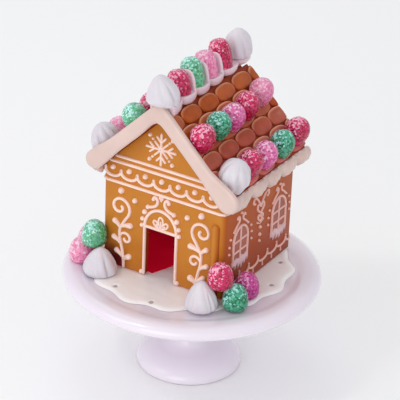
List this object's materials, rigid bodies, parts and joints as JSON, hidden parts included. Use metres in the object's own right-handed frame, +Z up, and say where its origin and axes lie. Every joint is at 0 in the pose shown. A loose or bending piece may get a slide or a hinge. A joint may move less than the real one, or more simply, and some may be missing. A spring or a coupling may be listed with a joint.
{
  "type": "gingerbread house",
  "caption": "Toy gingerbread house with a tiled roof, gumdrops, meringue dollops and white piped ornament, standing on a pedestal cake stand.",
  "frame": {"origin": "centre of the stand's foot, on the surface that it stands on", "axes": "+Z up; the gable with the door faces -Y; +X is to the right of someone looking at the door"},
  "size_m": [0.18, 0.18, 0.2328],
  "materials": {
    "stand": "smooth and glossy, pale lilac pink",
    "icing": "smooth, slightly wavy, cream pink",
    "piped_icing": "smooth satin, pale beige pink",
    "meringue": "soft satin white with broad ribs",
    "gingerbread": "glossy caramel brown, dark red inside, with raised pale pink ornament",
    "tiles": "glossy, slightly see-through orange brown to red brown",
    "red": "see-through raspberry red with glitter grains",
    "green": "see-through emerald green with glitter grains",
    "pink": "see-through pink with glitter grains",
    "light_pink": "see-through light pink with glitter grains"
  },
  "bodies": {
    "root": {"cake_stand": "stand", "dollop_base_left": "meringue", "dollop_base_right": "meringue", "dollop_eave_left": "meringue", "dollop_eave_right": "meringue", "dollop_ridge_back": "meringue", "dollop_ridge_front": "meringue", "eave_icing_left": "piped_icing", "eave_icing_right": "piped_icing", "gable_icing_left": "piped_icing", "gable_icing_right": "piped_icing", "gumdrop_base_left_1": "pink", "gumdrop_base_left_2": "light_pink", "gumdrop_base_left_3": "green", "gumdrop_base_right_1": "green", "gumdrop_base_right_2": "pink", "gumdrop_base_right_3": "red", "gumdrop_eave_left_1": "pink", "gumdrop_eave_left_2": "green", "gumdrop_eave_left_3": "red", "gumdrop_eave_left_4": "light_pink", "gumdrop_eave_right_1": "red", "gumdrop_eave_right_2": "pink", "gumdrop_eave_right_3": "green", "gumdrop_eave_right_4": "red", "gumdrop_mid_left_1": "green", "gumdrop_mid_left_2": "red", "gumdrop_mid_left_3": "light_pink", "gumdrop_mid_left_4": "green", "gumdrop_mid_left_5": "pink", "gumdrop_mid_right_1": "red", "gumdrop_mid_right_2": "green", "gumdrop_mid_right_3": "pink", "gumdrop_mid_right_4": "red", "gumdrop_mid_right_5": "light_pink", "gumdrop_ridge_1": "red", "gumdrop_ridge_2": "green", "gumdrop_ridge_3": "pink", "gumdrop_ridge_4": "red", "icing_sheet": "icing", "ridge_icing": "meringue", "roof_left": "tiles", "roof_right": "tiles", "wall_back": "gingerbread", "wall_front": "gingerbread", "wall_left": "gingerbread", "wall_right": "gingerbread"}
  },
  "joints": []
}
